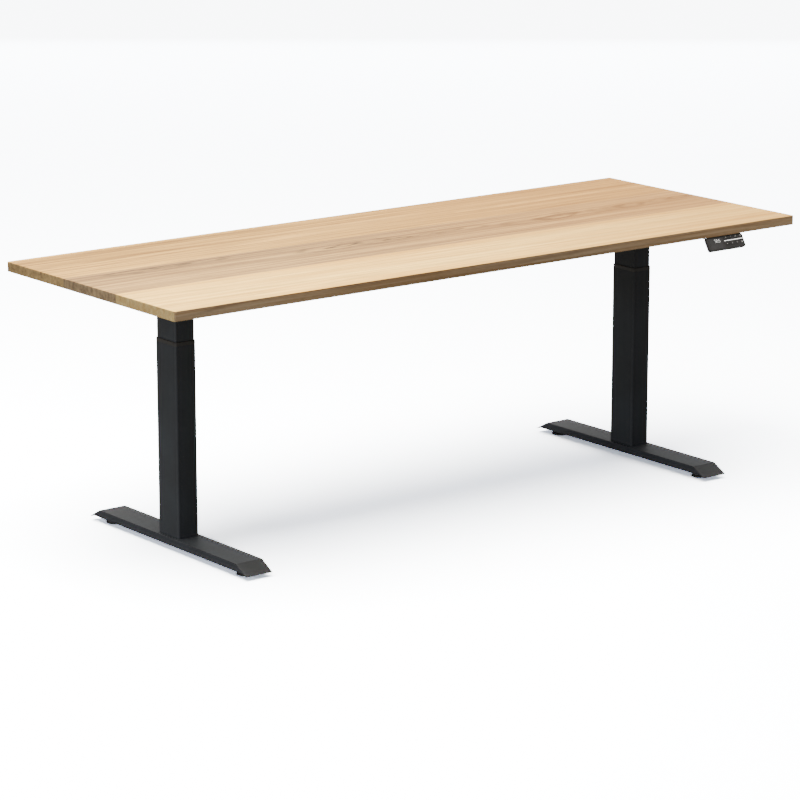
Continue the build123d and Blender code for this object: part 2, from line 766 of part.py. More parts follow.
with BuildPart() as handset_case:
    with BuildSketch(face.offset(-panel_plate)):
        with Locations(middle_of_face):
            RectangleRounded(*panel_size, panel_corner)
    extrude(amount=panel_plate - panel_thickness)
    back_edges = handset_case.faces().sort_by(Axis(face.origin, face.z_dir))[0].edges()
    fillet(back_edges, case_edge)
    with BuildSketch(level(panel_x, panel_top_y + panel_thickness / 2, inner_top)):
        RectangleRounded(
            panel_width - 2 * flange_inset, flange_depth, flange_corner, align=(Align.CENTER, Align.MIN)
        )
    extrude(amount=bracket_plate - face_gap)
    with BuildSketch(Plane(origin=(panel_x, 0, 0), x_dir=(0, 1, 0), z_dir=(1, 0, 0))):
        with BuildLine():
            Polyline(
                (panel_top_y + panel_thickness / 2, inner_top),
                (panel_top_y + gusset_reach, inner_top),
                (panel_top_y + panel_thickness / 3, inner_top - gusset_drop),
                close=True,
            )
        make_face()
    extrude(amount=gusset_plate / 2, both=True)
    with BuildSketch(face.offset(-panel_plate)):
        with Locations(middle_of_face):
            RectangleRounded(*grown(panel_size, -panel_wall), panel_corner - panel_wall)
    extrude(amount=panel_plate - panel_thickness + panel_wall, mode=Mode.SUBTRACT)
    with BuildSketch(level(0, 0, inner_top)):
        with Locations(*panel_screw_places):
            Circle(screw_radius + hole_clearance)
    extrude(amount=bracket_plate, mode=Mode.SUBTRACT)
    with BuildSketch(face.offset(-panel_thickness)):
        with Locations(lead_hole):
            Circle(panel_lead_radius + hole_clearance)
    extrude(amount=2 * panel_wall, mode=Mode.SUBTRACT)
save(handset_case, "handset_case")

with BuildPart() as display_window:
    with BuildSketch(face):
        with Locations(window_place):
            RectangleRounded(*window_size, window_corner)
    extrude(amount=-window_thickness)
save(display_window, "display_window")

with BuildPart() as light_strip:
    with BuildSketch(face.offset(strip_proud)):
        with Locations(strip_place):
            Rectangle(*strip_size)
    extrude(amount=-panel_plate - strip_proud)
save(light_strip, "light_strip")

# Circuit board with one switch dome behind each key
with BuildPart() as handset_board:
    with BuildSketch(face.offset(-board_depth)):
        with Locations(middle_of_face):
            RectangleRounded(*grown(panel_size, -board_inset), panel_corner - board_inset)
    extrude(amount=-board_thickness)
    with BuildSketch(face.offset(-board_depth)):
        with Locations(*key_places):
            Circle(dome_radius)
    extrude(amount=dome_height)
save(handset_board, "handset_board")

key_names = (
    "key_up", "key_memory_1", "key_memory_2", "key_timer",
    "key_down", "key_memory_3", "key_memory_4", "key_lock",
)
for name, place in zip(key_names, key_places):
    with BuildPart() as key:
        with BuildSketch(face.offset(key_proud)):
            with Locations(place):
                RectangleRounded(*key_size, key_corner)
        extrude(amount=-key_length)
    save(key, name)


# ---- Leads held under the top
def lead(points, radius):
    """Round cord along straight runs joined by tangent arcs as large as the runs allow."""
    corners = [Vector(*point) for point in points]
    radii = []
    for before, corner, after in zip(corners, corners[1:], corners[2:]):
        turn = (corner - before).get_angle(after - corner)
        shorter = min((corner - before).length, (after - corner).length)
        radii.append(0.45 * shorter / tan(radians(turn) / 2))
    print("lead arcs", [round(value) for value in radii])
    with BuildLine():
        route = FilletPolyline(*corners, radius=radii)
    with BuildSketch(Plane(origin=route @ 0, z_dir=route % 0)) as section:
        Circle(radius)
    sweep(section.sketch, path=route)
    return route.length


lead_run_z = underside - motor_lead_radius - lead_gap
panel_lead_z = underside - panel_lead_radius - lead_gap
box_right = box_x + box_length / 2
box_left = box_x - box_length / 2
cap_edge = leg_x - motor_cap_radius
right_motor_route = [
    (cap_edge, leg_y, lead_exit_z),
    (rail_half - 34, leg_y, lead_exit_z),
    (rail_half - 92, leg_y, lead_run_z),
    (box_right + 190, leg_y, lead_run_z),
    (box_right + 90, motor_port_y, port_z + 4),
    (box_right - box_wall - lead_end, motor_port_y, port_z),
]
left_motor_route = [
    (-cap_edge, leg_y, lead_exit_z),
    (34 - rail_half, leg_y, lead_exit_z),
    (92 - rail_half, leg_y, lead_run_z),
    (box_left - 90, leg_y, lead_run_z),
    (box_left - 40, leg_y, port_z),
    (box_left + box_wall + lead_end, leg_y, port_z),
]
panel_route = [
    face.from_local_coords((*lead_hole, 2 * panel_wall - panel_thickness)),
    face.from_local_coords((*lead_hole, -panel_thickness - 10)),
    (panel_x - 26, panel_top_y + 40, underside - 14),
    (panel_x - 39, panel_top_y + 72, underside - 8),
    (panel_x - 48, panel_top_y + 108, panel_lead_z),
    (panel_x - 50, leg_y - 110, panel_lead_z),
    (panel_x - 119, panel_port_y - 8, panel_lead_z),
    (box_right + 130, panel_port_y - 6, panel_lead_z),
    (box_right + 60, panel_port_y, port_z + 3),
    (box_right - box_wall - lead_end, panel_port_y, port_z),
]

with BuildPart() as motor_leads:
    run = lead(right_motor_route, motor_lead_radius) + lead(left_motor_route, motor_lead_radius)
    print("motor leads", round(run), "mm, volume", round(motor_leads.part.volume),
          "against", round(run * pi * motor_lead_radius**2))
save(motor_leads, "motor_leads")

with BuildPart() as handset_lead:
    run = lead(panel_route, panel_lead_radius)
    print("handset lead", round(run), "mm, volume", round(handset_lead.part.volume),
          "against", round(run * pi * panel_lead_radius**2))
save(handset_lead, "handset_lead")

# Clips that hold the leads against the top: saddles across each run
with BuildPart() as cable_clips:
    left_run_middle = (92 - rail_half + box_left - 90) / 2
    motor_clip_x = [rail_half - 150, rail_half - 330, rail_half - 520, left_run_middle]
    for x in motor_clip_x:
        with BuildSketch(facing_x(x - clip_length / 2, leg_y, underside)):
            Rectangle(clip_width, 2 * motor_lead_radius + clip_roof, align=(Align.CENTER, Align.MAX))
            with Locations((0, lead_run_z - underside)):
                Circle(motor_lead_radius + 4 * press_gap, mode=Mode.SUBTRACT)
        extrude(amount=clip_length)
save(cable_clips, "cable_clips")
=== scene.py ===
import json
import math

import bmesh
import bpy
from mathutils import Matrix, Vector

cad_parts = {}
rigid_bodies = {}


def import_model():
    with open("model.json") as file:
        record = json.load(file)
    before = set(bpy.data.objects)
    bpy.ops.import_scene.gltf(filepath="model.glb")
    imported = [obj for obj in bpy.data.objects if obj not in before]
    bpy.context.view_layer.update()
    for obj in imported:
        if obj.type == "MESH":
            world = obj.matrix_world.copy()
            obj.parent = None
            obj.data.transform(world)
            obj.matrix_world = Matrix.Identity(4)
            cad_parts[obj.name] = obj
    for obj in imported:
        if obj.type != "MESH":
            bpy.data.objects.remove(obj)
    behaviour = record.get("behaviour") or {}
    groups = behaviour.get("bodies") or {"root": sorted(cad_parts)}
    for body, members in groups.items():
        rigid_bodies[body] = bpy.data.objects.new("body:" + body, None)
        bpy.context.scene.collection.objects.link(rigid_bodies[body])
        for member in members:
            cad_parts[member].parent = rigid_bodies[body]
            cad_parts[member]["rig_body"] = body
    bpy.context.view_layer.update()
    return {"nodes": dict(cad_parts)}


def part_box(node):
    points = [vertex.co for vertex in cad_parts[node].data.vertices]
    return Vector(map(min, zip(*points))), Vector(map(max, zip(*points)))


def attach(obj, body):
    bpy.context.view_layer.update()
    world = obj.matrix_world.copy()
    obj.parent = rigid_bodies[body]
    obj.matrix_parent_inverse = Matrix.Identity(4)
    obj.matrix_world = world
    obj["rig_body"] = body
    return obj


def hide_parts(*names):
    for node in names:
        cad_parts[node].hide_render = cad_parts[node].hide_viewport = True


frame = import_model()

MM = 0.001
SIDES = ("left", "right")
PANEL_TILT = math.radians(31)  # the control panel's face leans back by this much
KEY_LENGTH = 3.3 * MM
WINDOW_DEPTH = 1.0 * MM
SHARP_ANGLE = math.radians(28)  # edges sharper than this are rounded and shaded as edges
MERGE_DISTANCE = 0.002 * MM
FLAT_ANGLE = math.radians(0.5)
KEYS = {
    "key_up": "arrow_up", "key_memory_1": "one", "key_memory_2": "two", "key_timer": "clock",
    "key_down": "arrow_down", "key_memory_3": "three", "key_memory_4": "four", "key_lock": "padlock",
}


# ---------------------------------------------------------------- colour and node helpers
def linear(code):
    """sRGB hex to linear RGBA."""
    levels = [int(code[i:i + 2], 16) / 255 for i in (1, 3, 5)]
    return [v / 12.92 if v <= 0.04045 else ((v + 0.055) / 1.055) ** 2.4 for v in levels] + [1.0]


def add(tree, kind, settings=None, **links):
    """Adds one node; settings are its properties or unlinked sockets, links join sockets by name."""
    item = tree.nodes.new("ShaderNode" + kind)
    for key, value in (settings or {}).items():
        if isinstance(key, str) and hasattr(item, key):
            setattr(item, key, value)
        else:
            item.inputs[key].default_value = value
    for key, source in links.items():
        socket = item.inputs[int(key[1:])] if key[0] == "i" and key[1:].isdigit() else item.inputs[key]
        tree.links.new(source, socket)
    return item


def start_material(name):
    """A material with its surface shader and the place of each point in metres."""
    material = bpy.data.materials.new(name)
    material.use_nodes = True
    tree = material.node_tree
    shader = tree.nodes["Principled BSDF"]
    place = add(tree, "TexCoord").outputs["Object"]
    return material, tree, shader, place


def maths(tree, operation, a, b=None, c=None):
    """One arithmetic step; each operand is a number or a socket."""
    item = add(tree, "Math", {"operation": operation})
    for socket, value in zip(item.inputs, (a, b, c)):
        if value is None:
            continue
        if isinstance(value, (int, float)):
            socket.default_value = value
        else:
            tree.links.new(value, socket)
    return item.outputs[0]


def grain_noise(tree, place, scale, detail=2.0, roughness=0.5):
    """Noise from 0 to 1; scale is the number of grains in a metre along each axis."""
    mapping = add(tree, "Mapping", {"Scale": scale}, Vector=place)
    settings = {"Scale": 1.0, "Detail": detail, "Roughness": roughness}
    noise = add(tree, "TexNoise", settings, Vector=mapping.outputs["Vector"])
    return noise.outputs["Fac"]


def ranged(tree, value, low, high, to_low=0.0, to_high=1.0, smooth=True):
    """Carries a value from one range to another, held at both ends."""
    item = add(
        tree, "MapRange",
        {"From Min": low, "From Max": high, "To Min": to_low, "To Max": to_high,
         "interpolation_type": "SMOOTHSTEP" if smooth else "LINEAR"},
        Value=value,
    )
    return item.outputs["Result"]


def blend_colours(tree, share, first, second, mode="MIX"):
    """Mixes two colours; each is a hex code or a socket, share is a number or a socket."""
    item = add(tree, "Mix", {"data_type": "RGBA", "blend_type": mode})
    for index, value in ((0, share), (6, first), (7, second)):
        if isinstance(value, str):
            item.inputs[index].default_value = linear(value)
        elif isinstance(value, (int, float)):
            item.inputs[index].default_value = value
        else:
            tree.links.new(value, item.inputs[index])
    return item.outputs[2]


def bump(tree, shader, height, distance):
    """Relief of the given depth in metres, too fine to model."""
    item = add(tree, "Bump", {"Distance": distance, "Strength": 1.0}, Height=height)
    tree.links.new(item.outputs["Normal"], shader.inputs["Normal"])


# ---------------------------------------------------------------- materials
PALE_FRONT, DEEP_FRONT = "#ffd97e", "#cf9c48"
PALE_MIDDLE, DEEP_MIDDLE = "#c09c64", "#6d5437"
PALE_REAR, DEEP_REAR = "#d9ac5e", "#785726"
# The last of these colours is painted shade, given to the right-hand end of the top where less light
# falls
RING_BROWN, FIGURE_BROWN, RIGHT_END_SHADE_BROWN = "#5e4226", "#241a10", "#ae7a32"
FRONT_JOINT, REAR_JOINT = -0.125, 0.108  # the two glue joints, from the middle of the top
RING_SPACING = 17 * MM  # wider than in the log, so that the lines show
GLUE_LINE = 0.8 * MM
# Each eye of the figure: its place along and across the top, its length and its width
EYES = (
    (-0.72, 0.075, 0.16, 0.020), (-0.21, 0.030, 0.13, 0.026), (-0.04, 0.020, 0.11, 0.022),
    (0.13, 0.016, 0.11, 0.022), (0.49, 0.004, 0.17, 0.036), (0.76, 0.014, 0.13, 0.030),
    (0.94, 0.020, 0.10, 0.026),
)


def lacquered_hardwood():
    """Pale hardwood boards under a clear satin lacquer: three wide boards, each cut from another
    place in the log, so each has its own tone, ring lines and figure. The rings are solid, so the
    long edges show lines and the ends show arcs."""
    material, tree, shader, place = start_material("lacquered hardwood boards")
    low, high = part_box("tabletop")
    middle_y = (low.y + high.y) / 2
    front_joint = middle_y + FRONT_JOINT
    rear_joint = middle_y + REAR_JOINT
    x, y, z = add(tree, "SeparateXYZ", Vector=place).outputs
    on_middle = maths(tree, "GREATER_THAN", y, front_joint)
    on_rear = maths(tree, "GREATER_THAN", y, rear_joint)

    def per_board(front, middle, rear):
        """A number that changes at each glue joint."""
        first = maths(tree, "MULTIPLY_ADD", on_middle, middle - front, front)
        return maths(tree, "MULTIPLY_ADD", on_rear, rear - middle, first)

    shift = add(
        tree, "CombineXYZ",
        X=per_board(0.0, 3.1, 7.3), Y=per_board(0.0, 1.7, 4.1), Z=per_board(0.0, 0.9, 2.3),
    ).outputs[0]
    moved = add(tree, "VectorMath", {"operation": "ADD"}, i0=place, i1=shift).outputs[0]

    # Growth rings about each board's own pith line, which wanders and rises through the face
    sway = grain_noise(tree, moved, (0.9, 5.0, 5.0), 3.0, 0.55)
    ripple = grain_noise(tree, moved, (6.0, 24.0, 24.0), 3.0, 0.6)
    bend = maths(tree, "MULTIPLY_ADD", sway, 0.060, -0.030)
    bend = maths(tree, "MULTIPLY_ADD", ripple, 0.012, bend)
    from_pith_y = maths(tree, "SUBTRACT", y, per_board(-0.70, middle_y + 0.012, 0.82))
    from_pith_y = maths(tree, "ADD", from_pith_y, bend)
    slope = maths(tree, "MULTIPLY", x, per_board(0.004, 0.022, 0.006))
    depth = maths(tree, "ADD", maths(tree, "SUBTRACT", z, per_board(0.60, 0.655, 0.62)), slope)
    across = maths(tree, "MULTIPLY", from_pith_y, from_pith_y)
    radius = maths(tree, "SQRT", maths(tree, "MULTIPLY_ADD", depth, depth, across))
    spacing = ranged(tree, grain_noise(tree, moved, (0.3, 8.0, 8.0), 2.0), 0.3, 0.7, 0.85, 1.15, False)
    rings_per_metre = maths(tree, "DIVIDE", 1 / RING_SPACING, spacing)
    through_ring = maths(tree, "FRACT", maths(tree, "MULTIPLY", radius, rings_per_metre))
    ramp = add(tree, "ValToRGB", Fac=through_ring)
    stops = ramp.color_ramp
    stops.elements[0].color = (0.0, 0.0, 0.0, 1)
    stops.elements[1].color = (0.0, 0.0, 0.0, 1)
    for position, level in ((0.35, 0.10), (0.80, 1.0), (0.90, 0.75)):
        stops.elements.new(position).color = (level, level, level, 1)
    rings = ramp.outputs["Color"]

    # Long soft streaks, fibres and open pores, all drawn out along the board
    streaks = grain_noise(tree, moved, (0.40, 26.0, 26.0), 5.0, 0.68)
    fine_streaks = grain_noise(tree, moved, (1.3, 95.0, 95.0), 4.0, 0.72)
    fibres = grain_noise(tree, moved, (7.0, 700.0, 700.0), 2.0, 0.6)
    pores = ranged(tree, grain_noise(tree, moved, (26.0, 1000.0, 1000.0), 1.0), 0.58, 0.70)

    # Board tones: pale sapwood streaks over deeper heartwood
    pale = blend_colours(tree, on_middle, PALE_FRONT, PALE_MIDDLE)
    pale = blend_colours(tree, on_rear, pale, PALE_REAR)
    deep = blend_colours(tree, on_middle, DEEP_FRONT, DEEP_MIDDLE)
    deep = blend_colours(tree, on_rear, deep, DEEP_REAR)
    share = maths(tree, "MULTIPLY", ranged(tree, streaks, 0.38, 0.62), 0.55)
    share = maths(tree, "MULTIPLY_ADD", ranged(tree, fine_streaks, 0.42, 0.60), 0.45, share)
    colour = blend_colours(tree, share, pale, deep)
    ring_depth = maths(tree, "MULTIPLY", rings, per_board(0.26, 0.50, 0.36))
    ring_depth = maths(tree, "MULTIPLY", ring_depth, ranged(tree, ripple, 0.30, 0.62, 0.35, 1.0))
    colour = blend_colours(tree, ring_depth, colour, RING_BROWN)

    # Flame figure along the middle board: dark, broken rims about pale eyes
    eyes = None
    for eye_x, eye_y, length, width in EYES:
        dx = maths(tree, "MULTIPLY", maths(tree, "SUBTRACT", x, eye_x), 1 / length)
        dy = maths(tree, "MULTIPLY", maths(tree, "SUBTRACT", y, middle_y + eye_y), 1 / width)
        dy = maths(tree, "MULTIPLY_ADD", dx, -0.25, dy)
        dy = maths(tree, "ADD", dy, maths(tree, "MULTIPLY_ADD", ripple, 2.4, -1.2))
        reach = maths(tree, "SQRT", maths(tree, "MULTIPLY_ADD", dx, dx, maths(tree, "MULTIPLY", dy, dy)))
        wave = maths(tree, "PINGPONG", maths(tree, "MULTIPLY", reach, 2.6), 1.0)
        wave = ranged(tree, wave, 0.35, 0.95)
        rim = maths(tree, "MULTIPLY", wave, ranged(tree, reach, 0.7, 1.5, 1.0, 0.0))
        eyes = rim if eyes is None else maths(tree, "MAXIMUM", eyes, rim)
    broken = ranged(tree, fine_streaks, 0.36, 0.52, 0.55, 1.0)
    eyes = maths(tree, "MULTIPLY", maths(tree, "MULTIPLY", eyes, on_middle), broken)
    colour = blend_colours(tree, eyes, colour, FIGURE_BROWN)

    # Painted shade: the faces are painted warmer and deeper towards the right-hand end, where less of
    # the light overhead falls; the long edges take less of it
    facing = add(tree, "SeparateXYZ", Vector=add(tree, "TexCoord").outputs["Normal"])
    long_edge = ranged(tree, maths(tree, "ABSOLUTE", facing.outputs["Y"]), 0.3, 0.9)
    end_grain = ranged(tree, maths(tree, "ABSOLUTE", facing.outputs["X"]), 0.3, 0.9)
    most_right_end_shade = maths(tree, "MULTIPLY_ADD", long_edge, -0.40, 0.50)
    right_end_shade = maths(tree, "MULTIPLY", ranged(tree, x, -0.5, 1.0), most_right_end_shade)
    colour = blend_colours(tree, right_end_shade, colour, RIGHT_END_SHADE_BROWN)

    # Fibres and pores, and a fine dark line at each glue joint
    shade = maths(tree, "MULTIPLY_ADD", fibres, 0.36, 0.82)
    shade = maths(tree, "MULTIPLY_ADD", pores, -0.22, shade)
    to_front_joint = maths(tree, "ABSOLUTE", maths(tree, "SUBTRACT", y, front_joint))
    to_rear_joint = maths(tree, "ABSOLUTE", maths(tree, "SUBTRACT", y, rear_joint))
    to_joint = maths(tree, "MINIMUM", to_front_joint, to_rear_joint)
    shade = maths(tree, "MULTIPLY", shade, ranged(tree, to_joint, 0.0, GLUE_LINE, 0.72, 1.0))
    grey = add(tree, "CombineXYZ", X=shade, Y=shade, Z=shade).outputs[0]
    colour = blend_colours(tree, 1.0, colour, grey, "MULTIPLY")

    # Painted shade: the long edges and the ends are painted darker and greyer, because these upright
    # faces get far less of the light overhead than the top. The long edges are painted a little lighter
    # towards the right, a painted lift for the light that falls off there
    edge_shade_tint = blend_colours(tree, ranged(tree, x, 0.1, 0.9), "#858bc8", "#9ba0e1")
    shaded_long_edge = blend_colours(tree, 1.0, colour, edge_shade_tint, "MULTIPLY")
    colour = blend_colours(tree, long_edge, colour, shaded_long_edge)
    # The ends are painted darker and greyer: partly the end grain's own darker tone, partly painted
    # shade
    ends = blend_colours(tree, 0.35, colour, "#a08558")
    ends = blend_colours(tree, 1.0, ends, "#b0bce2", "MULTIPLY")
    colour = blend_colours(tree, end_grain, colour, ends)
    tree.links.new(colour, shader.inputs["Base Color"])

    # Satin lacquer follows the fibres a little, so the gloss is drawn out along the board
    tree.links.new(maths(tree, "MULTIPLY_ADD", fine_streaks, 0.16, 0.44), shader.inputs["Roughness"])
    shader.inputs["IOR"].default_value = 1.50
    shader.inputs["Specular IOR Level"].default_value = 0.15
    relief = maths(tree, "MULTIPLY_ADD", rings, 0.25, fibres)
    relief = maths(tree, "MULTIPLY_ADD", pores, -0.8, relief)
    bump(tree, shader, relief, 0.05 * MM)
    return material


def powder_coat(name, code, rough=0.60, grit=1.6, relief=0.035):
    """Powder coat on steel: fine orange peel that breaks up the highlight, slightly uneven tone."""
    material, tree, shader, place = start_material(name)
    shader.inputs["IOR"].default_value = 1.37
    peel = grain_noise(tree, place, (1000 / grit,) * 3, 2.0, 0.55)
    clouds = grain_noise(tree, place, (9.0, 9.0, 9.0), 3.0)
    colour = blend_colours(tree, ranged(tree, clouds, 0.3, 0.7), code[0], code[1])
    speck = ranged(tree, grain_noise(tree, place, (420.0, 420.0, 420.0), 1.0), 0.70, 0.80)
    colour = blend_colours(tree, maths(tree, "MULTIPLY", speck, 0.35), colour, "#57585a")
    tree.links.new(colour, shader.inputs["Base Color"])
    tree.links.new(maths(tree, "MULTIPLY_ADD", peel, 0.16, rough - 0.08), shader.inputs["Roughness"])
    bump(tree, shader, peel, relief * MM)
    return material


def moulded_plastic(name, code, rough=0.45, grit=0.8, relief=0.02):
    """Injection-moulded plastic with a fine spark-eroded texture."""
    material, tree, shader, place = start_material(name)
    shader.inputs["IOR"].default_value = 1.49
    texture = grain_noise(tree, place, (1000 / grit,) * 3, 1.0)
    flow = grain_noise(tree, place, (30.0, 30.0, 12.0), 2.0)
    colour = blend_colours(tree, ranged(tree, flow, 0.3, 0.7), code[0], code[1])
    tree.links.new(colour, shader.inputs["Base Color"])
    tree.links.new(maths(tree, "MULTIPLY_ADD", texture, 0.12, rough - 0.06), shader.inputs["Roughness"])
    bump(tree, shader, texture, relief * MM)
    return material


def turned_steel(name, code, rough, direction=(60.0, 60.0, 2400.0)):
    """Bare or plated steel: fine tool marks across the axis, mottled plating."""
    material, tree, shader, place = start_material(name)
    shader.inputs["Metallic"].default_value = 1.0
    marks = grain_noise(tree, place, direction, 2.0)
    mottle = grain_noise(tree, place, (70.0, 70.0, 70.0), 3.0)
    colour = blend_colours(tree, ranged(tree, mottle, 0.3, 0.7), code[0], code[1])
    tree.links.new(colour, shader.inputs["Base Color"])
    tree.links.new(maths(tree, "MULTIPLY_ADD", marks, 0.2, rough - 0.1), shader.inputs["Roughness"])
    bump(tree, shader, marks, 0.01 * MM)
    return material


def smoked_window():
    """Polished smoked acrylic over the display."""
    material, tree, shader, place = start_material("polished smoked acrylic")
    shader.inputs["IOR"].default_value = 1.49
    smear = grain_noise(tree, place, (55.0, 90.0, 55.0), 3.0)
    tree.links.new(blend_colours(tree, smear, "#2c2c2e", "#38383b"), shader.inputs["Base Color"])
    tree.links.new(maths(tree, "MULTIPLY_ADD", smear, 0.10, 0.06), shader.inputs["Roughness"])
    return material


def lit(name, code, strength, rough=0.4):
    """White light or ink, all given a glow: a frosted diffuser and lit digits glow as lamps, and the
    faint glow on pad-printed symbols is painted light.
    """
    material, tree, shader, place = start_material(name)
    grain = grain_noise(tree, place, (1800.0, 1800.0, 1800.0), 1.0)
    colour = blend_colours(tree, maths(tree, "MULTIPLY", grain, 0.12), code, "#b9b9b6")
    tree.links.new(colour, shader.inputs["Base Color"])
    tree.links.new(colour, shader.inputs["Emission Color"])
    shader.inputs["Emission Strength"].default_value = strength
    shader.inputs["Roughness"].default_value = rough
    return material


def solder_mask():
    """Green solder mask over copper tracks."""
    material, tree, shader, place = start_material("green solder mask")
    settings = {
        "Scale": 180.0, "Mortar Size": 0.06,
        "Color1": linear("#174a2a"), "Color2": linear("#1b5530"), "Mortar": linear("#2e7a48"),
    }
    tracks = add(tree, "TexBrick", settings, Vector=place)
    tree.links.new(tracks.outputs["Color"], shader.inputs["Base Color"])
    shader.inputs["Roughness"].default_value = 0.3
    return material


def cable_sheath():
    """Matt black PVC cable sheath, faintly ribbed."""
    material, tree, shader, place = start_material("black PVC sheath")
    ribs = grain_noise(tree, place, (900.0, 900.0, 900.0), 1.0)
    tree.links.new(blend_colours(tree, ribs, "#141415", "#1d1d1e"), shader.inputs["Base Color"])
    shader.inputs["Roughness"].default_value = 0.55
    bump(tree, shader, ribs, 0.03 * MM)
    return material


WOOD = lacquered_hardwood()
BLACK_COAT = powder_coat("matt black powder coat", ("#1e2228", "#23282f"))
MOULDED = moulded_plastic("black moulded nylon", ("#161617", "#1b1b1c"), 0.5)
PANEL = moulded_plastic("satin black ABS", ("#1f1f21", "#252527"), 0.42, 0.5, 0.012)
KEYCAP = moulded_plastic("black key plastic", ("#1a1a1c", "#202022"), 0.36, 0.4, 0.008)
STEEL = turned_steel("ground steel", ("#8d8e90", "#a2a3a5"), 0.34)
ZINC = turned_steel("black zinc plate", ("#3b3b3d", "#505052"), 0.38, (900.0, 900.0, 900.0))
CAN = powder_coat("painted motor can", ("#3c3d40", "#47484b"), 0.4, 0.9, 0.01)
ACETAL = moulded_plastic("natural acetal", ("#c9c6bb", "#d6d3c8"), 0.4)
WINDOW = smoked_window()
STRIP = lit("white frosted diffuser", "#f4f6f8", 1.3)
DIGITS = lit("white display light", "#f2f5f8", 1.4)
# The pad print is given a faint glow of its own, which is painted light: print is no lamp
PRINT_WITH_PAINTED_GLOW = lit("grey pad print with painted glow", "#9a9da0", 0.2, 0.5)
BOARD = solder_mask()
SHEATH = cable_sheath()


# ---------------------------------------------------------------- pieces
def place_piece(name, bm, material, body):
    """Turns a finished bmesh into a piece that rides on a body."""
    mesh = bpy.data.meshes.new(name)
    bm.to_mesh(mesh)
    bm.free()
    piece = bpy.data.objects.new(name, mesh)
    bpy.context.scene.collection.objects.link(piece)
    mesh.materials.append(material)
    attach(piece, body)
    return piece


def soften(piece, width, segments):
    """Rounds the edges that a tool or a mould would round, and shades the flats flat."""
    piece.data.shade_smooth()
    piece.data.set_sharp_from_angle(angle=SHARP_ANGLE)
    bevel = piece.modifiers.new("edge", "BEVEL")
    bevel.width = width
    bevel.segments = segments
    bevel.limit_method = "ANGLE"
    bevel.angle_limit = SHARP_ANGLE
    bevel.harden_normals = True
    bevel.use_clamp_overlap = True


def finish_node(node, material, width, segments=2):
    """A merged copy of a CAD node with softened edges, standing for it."""
    source = frame["nodes"][node]
    bm = bmesh.new()
    bm.from_mesh(source.data)
    bmesh.ops.remove_doubles(bm, verts=bm.verts, dist=MERGE_DISTANCE)
    bmesh.ops.dissolve_limit(bm, angle_limit=FLAT_ANGLE, verts=bm.verts, edges=bm.edges)
    piece = place_piece(node + "_made", bm, material, source["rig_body"])
    soften(piece, width, segments)
    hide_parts(node)


def refinish(node, material):
    """A CAD node whose shape is right keeps it and takes a better material."""
    slots = frame["nodes"][node].data.materials
    slots.clear()
    slots.append(material)


for side in SIDES:
    finish_node(f"{side}_foot", BLACK_COAT, 0.5 * MM, 3)
    finish_node(f"{side}_outer_tube", BLACK_COAT, 0.25 * MM)
    finish_node(f"{side}_middle_tube", BLACK_COAT, 0.25 * MM)
    finish_node(f"{side}_inner_tube", BLACK_COAT, 0.25 * MM)
    finish_node(f"{side}_side_bracket", BLACK_COAT, 0.6 * MM, 3)
    finish_node(f"{side}_outer_collar", MOULDED, 0.2 * MM)
    finish_node(f"{side}_middle_collar", MOULDED, 0.2 * MM)
    finish_node(f"{side}_front_glide", MOULDED, 0.3 * MM)
    finish_node(f"{side}_rear_glide", MOULDED, 0.3 * MM)
    for node, material in (
        ("foot_bolts", ZINC), ("pedestal_tube", STEEL), ("carrier_tube", STEEL), ("hollow_screw", STEEL),
        ("drive_screw", STEEL), ("motor", CAN), ("lower_nut", ACETAL), ("middle_slider", MOULDED),
    ):
        refinish(f"{side}_{node}", material)
for node in ("front_rail", "rear_rail"):
    finish_node(node, BLACK_COAT, 0.3 * MM)
for node, material in (
    ("tabletop", WOOD), ("frame_bolts", ZINC), ("tabletop_screws", ZINC), ("inner_sliders", MOULDED),
    ("control_box_lid", MOULDED), ("power_inlet", MOULDED), ("cable_clips", MOULDED),
    ("handset_board", BOARD), ("motor_leads", SHEATH), ("handset_lead", SHEATH), ("light_strip", STRIP),
):
    refinish(node, material)
finish_node("control_box_case", MOULDED, 0.6 * MM, 3)
finish_node("handset_case", PANEL, 0.3 * MM)
finish_node("handset_face", PANEL, 0.25 * MM)
finish_node("display_window", WINDOW, 0.15 * MM)
for key in KEYS:
    finish_node(key, KEYCAP, 0.5 * MM, 3)


# ---------------------------------------------------------------- symbols and display digits
face_normal = Vector((0, -math.cos(PANEL_TILT), math.sin(PANEL_TILT)))
face_up = Vector((0, math.sin(PANEL_TILT), math.cos(PANEL_TILT)))
face_right = Vector((1, 0, 0))


def on_face(centre, proud):
    """The transform from flat drawing millimetres to a place on the panel's sloping face."""
    turn = Matrix((face_right, face_up, face_normal)).transposed().to_4x4()
    return Matrix.Translation(centre + face_normal * proud) @ turn @ Matrix.Scale(MM, 4)


def bar(bm, start, end, width):
    """A straight printed line between two points."""
    start, end = Vector((*start, 0)), Vector((*end, 0))
    along = (end - start).normalized() * (width / 2)
    side = Vector((-along.y, along.x, 0))
    corners = (start - along - side, end + along - side, end + along + side, start - along + side)
    bm.faces.new([bm.verts.new(point) for point in corners])


def ring(bm, centre, radius, width):
    """A printed circle line."""
    spokes = 24
    inside = bmesh.ops.create_circle(bm, segments=spokes, radius=radius - width / 2)["verts"]
    outside = bmesh.ops.create_circle(bm, segments=spokes, radius=radius + width / 2)["verts"]
    edges = {e for v in inside + outside for e in v.link_edges}
    bmesh.ops.bridge_loops(bm, edges=list(edges))
    bmesh.ops.translate(bm, verts=inside + outside, vec=Vector((*centre, 0)))


# The strokes that each number lights: a to f run clockwise from the top, and g crosses the middle
SEGMENTS = {
    "one": "bc", "two": "abged", "three": "abgcd", "four": "fgbc", "five": "afgcd", "seven": "abc",
}
INK_LAYER = 0.04  # drawing millimetres
SYMBOL_HEIGHT, SYMBOL_STROKE = 3.6, 0.55
READING_HEIGHT, READING_STROKE = 7.6, 0.5


